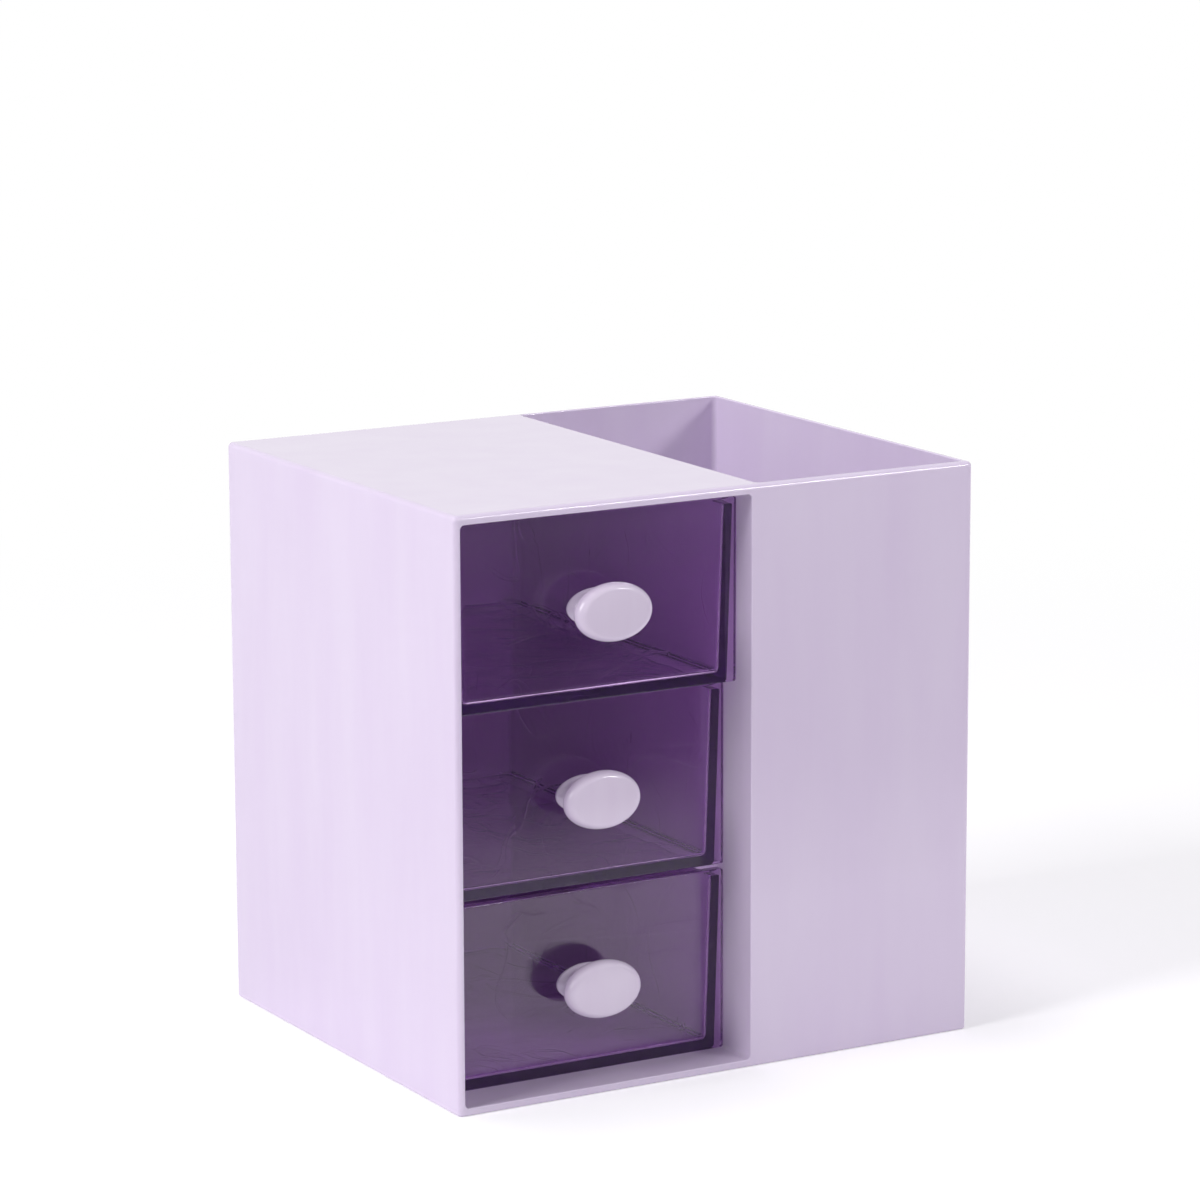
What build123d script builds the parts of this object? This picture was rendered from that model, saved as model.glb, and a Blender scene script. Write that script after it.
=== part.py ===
"""Desk organiser: a case with a pen bay beside three clear pull-out trays with oval knobs.

Millimetres. Z is up, X runs to the right and the front faces -Y. The origin is the centre of
the case's flat underside. The top tray stands a few millimetres open, the others are shut.
"""

import os

from build123d import *

# Case
case_width = 126.0
case_depth = 105.0
case_height = 126.0
side_wall = 1.5
back_wall = 1.6
top_wall = 2.0
floor_wall = 1.6
edge_round = 1.1
foot_round = 0.5
lip_round = 0.3

# Tray bay, open at the front
bay_width = 69.0
bay_corner = 1.0
bay_draft = 0.3
divider_wall = 2.2

# Pen bay, open at the top
pen_wall = 1.6
pen_floor = 2.0
pen_corner = 1.2
pen_draft = 0.7
pen_floor_round = 1.0

# Rails that carry the middle and the top tray
rail_width = 4.5
rail_thickness = 1.6
rail_lead_in = 1.5
rail_setback = 1.2

# Trays
tray_names = ["bottom", "middle", "top"]
tray_recess = 10.5
top_tray_open = 5.0
slide_gap = 0.1
side_gap = 0.4
tray_spacing = 1.1
head_gap = 1.2
front_thickness = 2.0
front_corner = 0.5
front_edge_round = 0.35
rim_drop = 1.6
rim_round = 0.35
tub_side_inset = 0.4
tub_taper = 1.3
tub_corner = 2.2
tub_base_round = 0.7
tub_wall = 1.6
tub_floor = 1.8
hollow_base_round = 1.2

# Knobs: an oval head on a flatter oval neck, each one a round turning squeezed in height
knob_width = 18.0
knob_height = 12.4
knob_reach = 9.5
head_thickness = 3.3
head_dome = 0.5
head_front_round = 2.0
head_back_round = 0.75
neck_foot_width = 14.0
neck_foot_height = 8.0
neck_foot_edge = 0.5
neck_waist_width = 9.6
stem_diameter = 5.0
stem_clearance = 0.1
barb_diameter = 6.2
barb_tip_diameter = 4.4
barb_length = 2.4
barb_gap = 0.1
barb_land = 0.5
prong_slot = 1.2

# Places that follow from the sizes above
left = -case_width / 2
front = -case_depth / 2
back = case_depth / 2
bay_left = left + side_wall
bay_right = bay_left + bay_width
bay_middle = (bay_left + bay_right) / 2
bay_back = back - back_wall
bay_height = case_height - top_wall - floor_wall
pen_left = bay_right + divider_wall
pen_right = case_width / 2 - pen_wall
pen_front = front + pen_wall
pen_back = back - pen_wall
pen_width = pen_right - pen_left
pen_depth = pen_back - pen_front
pen_middle = ((pen_left + pen_right) / 2, (pen_front + pen_back) / 2)
tray_count = len(tray_names)
spare_height = slide_gap + head_gap + (tray_count - 1) * tray_spacing
tray_height = (bay_height - spare_height) / tray_count
tray_width = bay_width - 2 * side_gap
tray_length = bay_back - slide_gap - front - tray_recess
tray_bases = [floor_wall + slide_gap + i * (tray_height + tray_spacing) for i in range(tray_count)]
tray_fronts = [front + tray_recess] * (tray_count - 1) + [front + tray_recess - top_tray_open]
rail_front = front + tray_recess + front_thickness + rail_setback

os.makedirs("parts", exist_ok=True)


def write(part, name):
    """Labels a finished piece and writes it under its node's name."""
    part.label = name
    export_step(part, f"parts/{name}.step")


# Tray bay's space: level floor and ceiling, with sides that close in a little towards the back
with BuildPart() as bay_space:
    bay_centre = (bay_middle, floor_wall + bay_height / 2)
    with BuildSketch(Plane.XZ.offset(-front)):
        with Locations(bay_centre):
            RectangleRounded(bay_width, bay_height, bay_corner)
    with BuildSketch(Plane.XZ.offset(-bay_back)):
        with Locations(bay_centre):
            RectangleRounded(bay_width - 2 * bay_draft, bay_height, bay_corner)
    loft(ruled=True)

# Pen bay's space: it narrows downwards, as a moulded pocket must, and has a rounded bottom
with BuildPart() as pen_space:
    with BuildSketch(Plane.XY.offset(pen_floor)):
        with Locations(pen_middle):
            RectangleRounded(pen_width - 2 * pen_draft, pen_depth - 2 * pen_draft, pen_corner)
    with BuildSketch(Plane.XY.offset(case_height)):
        with Locations(pen_middle):
            RectangleRounded(pen_width, pen_depth, pen_corner)
    loft(ruled=True)
    fillet(pen_space.faces().sort_by(Axis.Z)[0].edges(), radius=pen_floor_round)

# Case: one glossy moulding with both bays and the rails
with BuildPart() as case:
    with BuildSketch():
        RectangleRounded(case_width, case_depth, edge_round)
    extrude(amount=case_height)
    fillet(case.faces().sort_by(Axis.Z)[-1].edges(), radius=edge_round)
    fillet(case.faces().sort_by(Axis.Z)[0].edges(), radius=foot_round)
    add(bay_space.part, mode=Mode.SUBTRACT)
    add(pen_space.part, mode=Mode.SUBTRACT)
    # The rims of both mouths are softly broken
    fillet(case.faces().sort_by(Axis.Z)[-1].inner_wires()[0].edges(), radius=lip_round)
    fillet(case.faces().sort_by(Axis.Y)[0].inner_wires()[0].edges(), radius=lip_round)
    # A rail on each side of the bay under every tray but the lowest, with a lead-in at its front
    rail_length = bay_back + back_wall / 2 - rail_front
    for base in tray_bases[1:]:
        with BuildSketch(Plane.XY.offset(base - slide_gap - rail_thickness)) as rails:
            for wall, root, side in ((bay_left, side_wall / 2, 1), (bay_right, divider_wall / 2, -1)):
                inner = wall + side * rail_width
                outer = wall - side * root
                with BuildLine():
                    Polyline(
                        (outer, rail_front),
                        (inner - side * rail_lead_in, rail_front),
                        (inner, rail_front + rail_lead_in),
                        (inner, rail_front + rail_length),
                        (outer, rail_front + rail_length),
                        close=True,
                    )
                make_face()
        extrude(amount=rail_thickness)
write(case.part, "case")

# Knob's neck, about Z with its foot at the origin: it flares towards the tray front
head_back = knob_reach - head_thickness
with BuildPart() as knob_neck:
    with BuildSketch(Plane.XZ):
        with BuildLine():
            foot = Line((0, 0), (neck_foot_width / 2, 0))
            rise = Line(foot @ 1, (neck_foot_width / 2, neck_foot_edge))
            flare = Spline(
                rise @ 1,
                (neck_waist_width / 2, head_back - neck_foot_edge),
                tangents=[(-1, 0.6), (0.05, 1)],
            )
            waist = Line(flare @ 1, (neck_waist_width / 2, head_back + head_thickness / 2))
            Polyline(waist @ 1, (0, head_back + head_thickness / 2), (0, 0))
        make_face()
    revolve(axis=Axis.Z)
    scale(by=(1, neck_foot_height / neck_foot_width, 1))

# Knob's head, a thick disc with a gently domed face that rolls over softly at its rim
with BuildPart() as knob_head:
    head_radius = knob_width / 2
    with BuildSketch(Plane.XZ) as profile:
        with BuildLine():
            shelf = Line((0, head_back), (head_radius, head_back))
            rim = Line(shelf @ 1, (head_radius, knob_reach - head_dome))
            TangentArc((0, knob_reach), rim @ 1, tangent=(1, 0))
            Line((0, knob_reach), (0, head_back))
        make_face()
        fillet(profile.vertices().group_by(Axis.X)[-1].sort_by(Axis.Y)[-1], radius=head_front_round)
        fillet(profile.vertices().group_by(Axis.X)[-1].sort_by(Axis.Y)[0], radius=head_back_round)
    revolve(axis=Axis.Z)
    scale(by=(1, knob_height / knob_width, 1))

# Whole knob
hole_radius = stem_diameter / 2 + stem_clearance
barb_start = -front_thickness - barb_gap
with BuildPart() as knob_shape:
    add(knob_neck.part)
    add(knob_head.part)
    # Round stem through the tray front, with a split barbed end that springs open behind it
    with BuildSketch():
        Circle(stem_diameter / 2)
    extrude(amount=barb_start - barb_length)
    with BuildSketch(Plane.XZ):
        with BuildLine():
            Polyline(
                (0, barb_start),
                (barb_diameter / 2, barb_start),
                (barb_diameter / 2, barb_start - barb_land),
                (barb_tip_diameter / 2, barb_start - barb_length),
                (0, barb_start - barb_length),
                close=True,
            )
        make_face()
    revolve(axis=Axis.Z)
    with BuildSketch(Plane.XY.offset(barb_start - barb_length)):
        Rectangle(2 * barb_diameter, prong_slot)
    extrude(amount=barb_length - barb_start, mode=Mode.SUBTRACT)

# Space inside a tray, whose front lies at Y = 0 and whose lower edge at Z = 0, tapered downwards
tray_rim = tray_height - rim_drop
rim_half_width = tray_width / 2 - tub_side_inset
with BuildPart() as tray_hollow:
    for level, taper in ((tub_floor, tub_taper), (tray_rim, 0)):
        half_width = rim_half_width - taper - tub_wall
        length = tray_length - front_thickness - taper - tub_wall
        with BuildSketch(Plane.XY.offset(level)):
            with Locations((0, front_thickness + length / 2)):
                RectangleRounded(2 * half_width, length, tub_corner - tub_wall / 2)
    loft(ruled=True)
    fillet(tray_hollow.faces().sort_by(Axis.Z)[0].edges(), radius=hollow_base_round)

# Tray: a tapered tub behind a flat front that stands a little higher and wider than it
with BuildPart() as tray_shape:
    for level, taper in ((0, tub_taper), (tray_rim, 0)):
        half_width = rim_half_width - taper
        length = tray_length - front_thickness / 2 - taper
        with BuildSketch(Plane.XY.offset(level)) as outline:
            with Locations((0, front_thickness / 2 + length / 2)):
                Rectangle(2 * half_width, length)
            fillet(outline.vertices().group_by(Axis.Y)[-1], radius=tub_corner)
    loft(ruled=True)
    base_edges = tray_shape.faces().sort_by(Axis.Z)[0].edges()
    fillet(base_edges - base_edges.group_by(Axis.Y)[0], radius=tub_base_round)
    add(tray_hollow.part, mode=Mode.SUBTRACT)
    fillet(tray_shape.faces().sort_by(Axis.Z)[-1].edges(), radius=rim_round)
    with BuildSketch(Plane.XZ):
        with Locations((0, tray_height / 2)):
            RectangleRounded(tray_width, tray_height, front_corner)
    extrude(amount=-front_thickness)
    fillet(tray_shape.faces().sort_by(Axis.Y)[0].edges(), radius=front_edge_round)
    with Locations(Plane(origin=(0, 0, tray_height / 2), x_dir=(1, 0, 0), z_dir=(0, -1, 0))):
        Hole(radius=hole_radius, depth=front_thickness)

# Each tray in its place, with its knob at the middle of its front
for tray_name, base, tray_front in zip(tray_names, tray_bases, tray_fronts):
    with BuildPart() as tray:
        with Locations((bay_middle, tray_front, base)):
            add(tray_shape.part)
    write(tray.part, f"drawer_{tray_name}")

    knob_seat = Plane(
        origin=(bay_middle, tray_front, base + tray_height / 2),
        x_dir=(1, 0, 0),
        z_dir=(0, -1, 0),
    )
    with BuildPart() as knob:
        with Locations(knob_seat):
            add(knob_shape.part)
    write(knob.part, f"knob_{tray_name}")
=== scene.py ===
"""Lilac desk organiser with three clear pull-out trays, dressed for a plain studio picture."""

import math

import bpy
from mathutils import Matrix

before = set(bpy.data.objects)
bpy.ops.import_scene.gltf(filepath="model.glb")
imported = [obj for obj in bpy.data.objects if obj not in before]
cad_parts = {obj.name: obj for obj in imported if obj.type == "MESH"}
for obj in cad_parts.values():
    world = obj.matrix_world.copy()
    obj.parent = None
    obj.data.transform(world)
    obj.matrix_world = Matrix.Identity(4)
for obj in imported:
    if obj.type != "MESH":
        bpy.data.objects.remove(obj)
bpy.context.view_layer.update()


# Case. One injection-moulded shell of opaque lilac polystyrene: the pen bay, the bay for the
# trays and the rails are all the same piece. It comes out of a polished mould, so it is glossy.
MM = 0.001
CASE_LILAC = "#E9DCF3"
CASE_STREAK = "#E5D6F0"
CASE_STREAK_SIZE = 11
CASE_GLOSS = (0.07, 0.13)
CASE_WAVE_SIZE = 24
CASE_WAVE_DEPTH = 0.05
SCUFF_SIZE = 0.6
STYRENE_IOR = 1.52


def linear(hex_colour):
    """Turns an sRGB hex colour into linear RGBA."""
    parts = [int(hex_colour[i:i + 2], 16) / 255 for i in (1, 3, 5)]
    return (*(c / 12.92 if c <= 0.04045 else ((c + 0.055) / 1.055) ** 2.4 for c in parts), 1.0)


def add(tree, kind, settings=None, values=None, links=None):
    """Adds one node, with its properties, its own values and the sockets that feed it."""
    node = tree.nodes.new(kind)
    for name, value in (settings or {}).items():
        setattr(node, name, value)
    for socket, value in (values or {}).items():
        node.inputs[socket].default_value = value
    for socket, source in (links or {}).items():
        tree.links.new(source, node.inputs[socket])
    return node


def material_with(name):
    """A new material that holds nothing but its output node."""
    made = bpy.data.materials.new(name)
    made.use_nodes = True
    made.node_tree.nodes.clear()
    return made, made.node_tree, made.node_tree.nodes.new("ShaderNodeOutputMaterial")


def dress(node_name, material):
    """Gives a CAD node its material."""
    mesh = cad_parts[node_name].data
    mesh.materials.clear()
    mesh.materials.append(material)


def lilac_polystyrene(name, colour, streak_colour, streak_size, gloss_range, wave_size, wave_depth):
    """Opaque glossy polystyrene. The eye gets an even pale lilac with faint upright streaks, where
    the plastic flowed in, a clear shine broken by fine scuffs, and reflections that wander a
    little, because a thin moulded wall is never quite flat. Sizes are in millimetres."""
    made, tree, output = material_with(name)
    place = add(tree, "ShaderNodeTexCoord").outputs["Object"]
    # Streaks six times as tall as they are wide
    upright = add(tree, "ShaderNodeMapping", values={"Scale": (1.0, 1.0, 1 / 6)},
                  links={"Vector": place})
    flow = add(tree, "ShaderNodeTexNoise", values={"Scale": 1 / (streak_size * MM), "Detail": 3.0},
               links={"Vector": upright.outputs["Vector"]})
    tint = add(tree, "ShaderNodeValToRGB", links={"Fac": flow.outputs["Fac"]})
    tint.color_ramp.elements[0].position = 0.3
    tint.color_ramp.elements[0].color = linear(streak_colour)
    tint.color_ramp.elements[1].position = 0.7
    tint.color_ramp.elements[1].color = linear(colour)
    # Scuffs, drawn coarser than real ones so that they show at all
    scuffs = add(tree, "ShaderNodeTexNoise", values={"Scale": 1 / (SCUFF_SIZE * MM), "Detail": 4.0},
                 links={"Vector": place})
    gloss = add(tree, "ShaderNodeMapRange",
                values={"From Min": 0.35, "From Max": 0.75,
                        "To Min": gloss_range[0], "To Max": gloss_range[1]},
                links={"Value": scuffs.outputs["Fac"]})
    waves = add(tree, "ShaderNodeTexNoise", values={"Scale": 1 / (wave_size * MM), "Detail": 1.0},
                links={"Vector": place})
    wavy = add(tree, "ShaderNodeBump", values={"Strength": 1.0, "Distance": wave_depth * MM},
               links={"Height": waves.outputs["Fac"]})
    shader = add(tree, "ShaderNodeBsdfPrincipled", values={"IOR": STYRENE_IOR},
                 links={"Base Color": tint.outputs["Color"], "Roughness": gloss.outputs["Result"],
                        "Normal": wavy.outputs["Normal"]})
    tree.links.new(shader.outputs["BSDF"], output.inputs["Surface"])
    return made


dress("case", lilac_polystyrene("lilac_polystyrene_mould_polished", CASE_LILAC, CASE_STREAK,
                                CASE_STREAK_SIZE, CASE_GLOSS, CASE_WAVE_SIZE, CASE_WAVE_DEPTH))


# Trays. Each is one moulding of clear polystyrene with a violet dye: a flat front and the
# tapered tub behind it. They lie loose on the rails and pull out by the knobs.
TRAY_CLEAR = "#EDD4F6"
TRAY_LIGHT = "#FAF3FC"
TRAY_DYE = "#B000D2"
TRAY_DYE_DENSITY = 30.0
TRAY_HAZE = 0.025
TRAY_GLOSS = (0.01, 0.07)
TRAY_PATCH_SIZE = 8
TRAY_SWIRL_SPACING = 20
TRAY_SWIRL_WIDTH = 0.012
TRAY_SWIRL_DEPTH = 0.018
TRAY_WAVE_SIZE = 16
TRAY_WAVE_DEPTH = 0.16


def violet_clear_polystyrene(name):
    """Clear dyed polystyrene out of a polished mould. Through 2 mm it looks nearly clear, along a
    wall it goes deep violet, because the dye is all through it. Handling has left it a little
    hazy in patches, with fine swirling marks, and its broad faces are slightly wavy."""
    made, tree, output = material_with(name)
    place = add(tree, "ShaderNodeTexCoord").outputs["Object"]
    patches = add(tree, "ShaderNodeTexNoise",
                  values={"Scale": 1 / (TRAY_PATCH_SIZE * MM), "Detail": 5.0},
                  links={"Vector": place})
    gloss = add(tree, "ShaderNodeMapRange",
                values={"From Min": 0.4, "From Max": 0.8,
                        "To Min": TRAY_GLOSS[0], "To Max": TRAY_GLOSS[1]},
                links={"Value": patches.outputs["Fac"]})
    # Swirl marks, thin curved lines drawn wider than real ones so that they show. Each one runs
    # where the noise passes its middle value
    swirl = add(tree, "ShaderNodeTexNoise",
                values={"Scale": 1 / (TRAY_SWIRL_SPACING * MM), "Detail": 1.5, "Distortion": 0.8},
                links={"Vector": place})
    off_line = add(tree, "ShaderNodeMath", {"operation": "SUBTRACT"}, {1: 0.5},
                   {0: swirl.outputs["Fac"]})
    off_line = add(tree, "ShaderNodeMath", {"operation": "ABSOLUTE"}, links={0: off_line.outputs[0]})
    mark = add(tree, "ShaderNodeMapRange", {"interpolation_type": "SMOOTHSTEP"},
               {"From Min": 0.0, "From Max": TRAY_SWIRL_WIDTH, "To Min": 1.0, "To Max": 0.0},
               {"Value": off_line.outputs[0]})
    waves = add(tree, "ShaderNodeTexNoise",
                values={"Scale": 1 / (TRAY_WAVE_SIZE * MM), "Detail": 1.0},
                links={"Vector": place})
    wavy = add(tree, "ShaderNodeBump", values={"Strength": 1.0, "Distance": TRAY_WAVE_DEPTH * MM},
               links={"Height": waves.outputs["Fac"]})
    scored = add(tree, "ShaderNodeBump", values={"Strength": 1.0, "Distance": TRAY_SWIRL_DEPTH * MM},
                 links={"Height": mark.outputs["Result"], "Normal": wavy.outputs["Normal"]})
    shader = add(tree, "ShaderNodeBsdfPrincipled",
                 values={"Base Color": linear(TRAY_CLEAR), "IOR": STYRENE_IOR,
                         "Transmission Weight": 1 - TRAY_HAZE},
                 links={"Roughness": gloss.outputs["Result"], "Normal": scored.outputs["Normal"]})
    dye = add(tree, "ShaderNodeVolumeAbsorption",
              values={"Color": linear(TRAY_DYE), "Density": TRAY_DYE_DENSITY})
    # Light for what lies inside goes straight through the walls, as it does through thin sheet
    ray = add(tree, "ShaderNodeLightPath")
    lighting = add(tree, "ShaderNodeMath", {"operation": "MAXIMUM"},
                   links={0: ray.outputs["Is Shadow Ray"], 1: ray.outputs["Is Diffuse Ray"]})
    let_by = add(tree, "ShaderNodeBsdfTransparent", values={"Color": linear(TRAY_LIGHT)})
    wall = add(tree, "ShaderNodeMixShader",
               links={0: lighting.outputs[0], 1: shader.outputs["BSDF"], 2: let_by.outputs["BSDF"]})
    tree.links.new(wall.outputs[0], output.inputs["Surface"])
    tree.links.new(dye.outputs["Volume"], output.inputs["Volume"])
    return made


tray_plastic = violet_clear_polystyrene("violet_clear_polystyrene_mould_polished")
for tray in ("drawer_bottom", "drawer_middle", "drawer_top"):
    dress(tray, tray_plastic)


# Knobs. Small solid mouldings of lilac polystyrene with an oval domed head on a flared neck. A
# split barbed stem snaps into the hole in the tray front.
KNOB_LILAC = "#E8DCF0"
KNOB_STREAK = "#E4D6EC"
KNOB_STREAK_SIZE = 5
KNOB_GLOSS = (0.05, 0.10)
KNOB_WAVE_SIZE = 9
KNOB_WAVE_DEPTH = 0.02

knob_plastic = lilac_polystyrene("lilac_polystyrene_knob_polished", KNOB_LILAC, KNOB_STREAK,
                                 KNOB_STREAK_SIZE, KNOB_GLOSS, KNOB_WAVE_SIZE, KNOB_WAVE_DEPTH)
for knob in ("knob_bottom", "knob_middle", "knob_top"):
    dress(knob, knob_plastic)


# Studio floor. A pale matt sheet under the object that keeps its soft shadow and, farther out,
# goes over to plain white, as the background of a catalogue picture does.
FLOOR_REACH = 8.0
FLOOR_DROP = 0.1
FLOOR_PAPER = "#F4F3F6"
FLOOR_LIFT = 0.34
FLOOR_FADE = (0.12, 0.6)
WHITE = (1, 1, 1, 1)


def seen_directly(tree):
    """A share of 1 for rays that show a surface, straight or in a mirror or clear plastic."""
    ray = add(tree, "ShaderNodeLightPath")
    shown = add(tree, "ShaderNodeMath", {"operation": "MAXIMUM"},
                links={0: ray.outputs["Is Camera Ray"], 1: ray.outputs["Is Glossy Ray"]})
    shown = add(tree, "ShaderNodeMath", {"operation": "MAXIMUM"},
                links={0: shown.outputs[0], 1: ray.outputs["Is Transmission Ray"]})
    return shown.outputs[0]


def white_paper_sheet(name):
    """Matt white paper, lifted to full white where no shadow falls on it."""
    made, tree, output = material_with(name)
    place = add(tree, "ShaderNodeTexCoord").outputs["Object"]
    away = add(tree, "ShaderNodeVectorMath", {"operation": "LENGTH"}, links={0: place})
    far = add(tree, "ShaderNodeMapRange", {"interpolation_type": "SMOOTHSTEP"},
              {"From Min": FLOOR_FADE[0], "From Max": FLOOR_FADE[1]}, {"Value": away.outputs["Value"]})
    shown = seen_directly(tree)
    white = add(tree, "ShaderNodeMath", {"operation": "MULTIPLY"},
                links={0: shown, 1: far.outputs["Result"]})
    paper = add(tree, "ShaderNodeBsdfDiffuse", values={"Color": linear(FLOOR_PAPER)})
    lift = add(tree, "ShaderNodeMath", {"operation": "MULTIPLY"}, {1: FLOOR_LIFT}, {0: shown})
    lifted = add(tree, "ShaderNodeEmission", values={"Color": WHITE},
                 links={"Strength": lift.outputs[0]})
    near = add(tree, "ShaderNodeAddShader", links={0: paper.outputs[0], 1: lifted.outputs[0]})
    glow = add(tree, "ShaderNodeEmission", values={"Color": WHITE, "Strength": 1.0})
    mix = add(tree, "ShaderNodeMixShader",
              links={0: white.outputs[0], 1: near.outputs[0], 2: glow.outputs[0]})
    tree.links.new(mix.outputs[0], output.inputs["Surface"])
    return made


def studio_sheet(name, corners, material, mirrored_only=False):
    """One four-cornered sheet that belongs to the studio, not to the object."""
    mesh = bpy.data.meshes.new(name)
    mesh.from_pydata(corners, [], [(0, 1, 2, 3)])
    mesh.materials.append(material)
    sheet = bpy.data.objects.new(name, mesh)
    if mirrored_only:
        sheet.visible_camera = sheet.visible_diffuse = sheet.visible_shadow = False
    bpy.context.scene.collection.objects.link(sheet)


floor_corners = [(x * FLOOR_REACH, y * FLOOR_REACH, -FLOOR_DROP * MM)
                 for x, y in ((-1, -1), (1, -1), (1, 1), (-1, 1))]
studio_sheet("studio_floor", floor_corners, white_paper_sheet("white_paper_sheet_matt"))


# Studio light. A large softbox on the left is the key, a smaller one on the right of the front
# and one overhead draw the lines of light on the knobs and along the rounded edges.
SOFTBOX_AIM = (0.0, 0.0, 0.06)


def softbox(name, place, width, height, power):
    """A rectangular lamp at a place in metres that faces the middle of the object."""
    lamp = bpy.data.lights.new(name, "AREA")
    lamp.shape = "RECTANGLE"
    lamp.size = width
    lamp.size_y = height
    lamp.energy = power
    holder = bpy.data.objects.new(name, lamp)
    holder.location = place
    bpy.context.scene.collection.objects.link(holder)
    direction = [a - b for a, b in zip(SOFTBOX_AIM, place)]
    across = math.hypot(direction[0], direction[1])
    holder.rotation_euler = (math.atan2(across, -direction[2]), 0,
                             math.atan2(-direction[0], direction[1]))


softbox("softbox_left", (-1.32, -0.14, 0.92), 0.55, 0.7, 12.3)
softbox("softbox_front_right", (0.95, -1.30, 0.80), 0.45, 0.3, 7.8)
softbox("softbox_overhead", (-0.20, 0.25, 1.5), 0.5, 0.35, 4.5)


# Graduated flag. A low glowing board before the object that only mirrored and bent rays see, where a
# photographer would set up a flag, so that the clear tray fronts don't mirror the white floor. It casts
# no shadow and lights nothing: its tones are painted reflections in the tray fronts.
FLAG_HALF_WIDTH = 0.45
FLAG_HEIGHT = 0.12
FLAG_STAND = -0.175
# Glow tones of the painted reflection that the tray fronts show, from the foot up
PAINTED_FOOT_TONE = 0.8
PAINTED_MIDDLE_TONE = 0.02
PAINTED_TOP_TONE = 0.45
FLAG_MIDDLE = (0.30, 0.52)


def painted_reflection_fade(name):
    """Painted reflection: a board that glows by itself, pale at the foot, near black in the middle and
    grey at the top, as smooth as a painted fade.
    """
    made, tree, output = material_with(name)
    place = add(tree, "ShaderNodeTexCoord").outputs["Object"]
    height_up = add(tree, "ShaderNodeSeparateXYZ", links={"Vector": place}).outputs["Z"]
    share = add(tree, "ShaderNodeMath", {"operation": "DIVIDE"}, {1: FLAG_HEIGHT}, {0: height_up})
    fade = add(tree, "ShaderNodeValToRGB", links={"Fac": share.outputs[0]})
    fade.color_ramp.interpolation = "EASE"
    fade.color_ramp.elements[0].color = (*[PAINTED_FOOT_TONE] * 3, 1)
    fade.color_ramp.elements[1].color = (*[PAINTED_TOP_TONE] * 3, 1)
    for spot in FLAG_MIDDLE:
        fade.color_ramp.elements.new(spot).color = (*[PAINTED_MIDDLE_TONE] * 3, 1)
    # The board glows by itself with no lamp behind it: this glow is the painted reflection in the tray
    # fronts
    board_glow = add(tree, "ShaderNodeEmission", links={"Color": fade.outputs["Color"]})
    tree.links.new(board_glow.outputs[0], output.inputs["Surface"])
    return made


flag_corners = [(-FLAG_HALF_WIDTH, FLAG_STAND, 0), (FLAG_HALF_WIDTH, FLAG_STAND, 0),
                (FLAG_HALF_WIDTH, FLAG_STAND, FLAG_HEIGHT), (-FLAG_HALF_WIDTH, FLAG_STAND, FLAG_HEIGHT)]
studio_sheet("painted_reflection_flag", flag_corners, painted_reflection_fade("painted_reflection_graduated"),
             mirrored_only=True)


# Room. A pale room fills the shadows a little and shows as plain white behind the object.
ROOM_PALE = "#F8F6FB"
ROOM_FILL = 0.32

world = bpy.data.worlds.new("pale_room")
bpy.context.scene.world = world
world.use_nodes = True
world.node_tree.nodes.clear()
room = world.node_tree
dim = add(room, "ShaderNodeBackground", values={"Color": linear(ROOM_PALE), "Strength": ROOM_FILL})
bright = add(room, "ShaderNodeBackground", values={"Color": WHITE, "Strength": 1.0})
mixed = add(room, "ShaderNodeMixShader",
            links={0: seen_directly(room), 1: dim.outputs[0], 2: bright.outputs[0]})
world_output = room.nodes.new("ShaderNodeOutputWorld")
room.links.new(mixed.outputs[0], world_output.inputs["Surface"])
bpy.context.scene.view_settings.view_transform = "Standard"

# A generous limit for light that passes between the faces of the clear walls.
CLEAR_WALL_BOUNCES = 40
for limit in ("max_bounces", "transmission_bounces", "glossy_bounces"):
    setattr(bpy.context.scene.cycles, limit, CLEAR_WALL_BOUNCES)


# Camera, on the left of the front and a little above, with a long lens.
CAMERA_LENS = 145.39
CAMERA_PLACE = (-0.51579, -0.89668, 0.30413)
CAMERA_TURN = (78.4718, 0.1988, -30.0026)

lens = bpy.data.cameras.new("photograph_view")
lens.sensor_width = 36.0
lens.lens = CAMERA_LENS
lens.clip_start = 0.01
lens.clip_end = 50.0
viewer = bpy.data.objects.new("photograph_view", lens)
viewer.location = CAMERA_PLACE
viewer.rotation_euler = [math.radians(angle) for angle in CAMERA_TURN]
bpy.context.scene.collection.objects.link(viewer)
bpy.context.scene.camera = viewer
